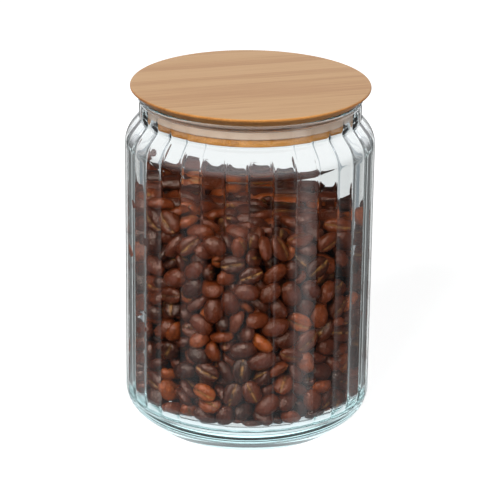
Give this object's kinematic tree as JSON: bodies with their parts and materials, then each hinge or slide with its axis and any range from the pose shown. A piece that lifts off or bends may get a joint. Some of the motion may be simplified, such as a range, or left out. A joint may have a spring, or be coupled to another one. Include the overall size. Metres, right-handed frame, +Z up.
{
  "type": "glass storage jar",
  "caption": "Straight-sided round glass storage jar with broad reeds down the inside of its wall, a thick rounded base and a push-in bamboo lid with a silicone seal.",
  "frame": {"origin": "centre of the foot ring, on the surface that the jar stands on", "axes": "+Z up along the jar's axis, through the middle of the lid; -Y is the front and +X is to the right, though the jar is the same all round"},
  "size_m": [0.105, 0.105, 0.1492],
  "materials": {
    "clear_glass": "clear pressed glass, polished outside, reeded inside",
    "bamboo": "laminated bamboo, sanded and oiled, satin",
    "silicone": "translucent moulded silicone, satin"
  },
  "bodies": {
    "jar": {"glass_jar": "clear_glass"},
    "seal": {"seal_ring": "silicone"},
    "lid": {"lid_disc": "bamboo", "lid_plug": "bamboo"}
  },
  "joints": [
    {"name": "lid_lift", "type": "slide", "parent": "jar", "child": "seal", "axis": [0, 0, 1], "range_m": [0, 0.05]},
    {"name": "lid_turn", "type": "hinge", "parent": "seal", "child": "lid", "pos_m": [0, 0, 0.1404], "axis": [0, 0, 1], "continuous": true}
  ]
}
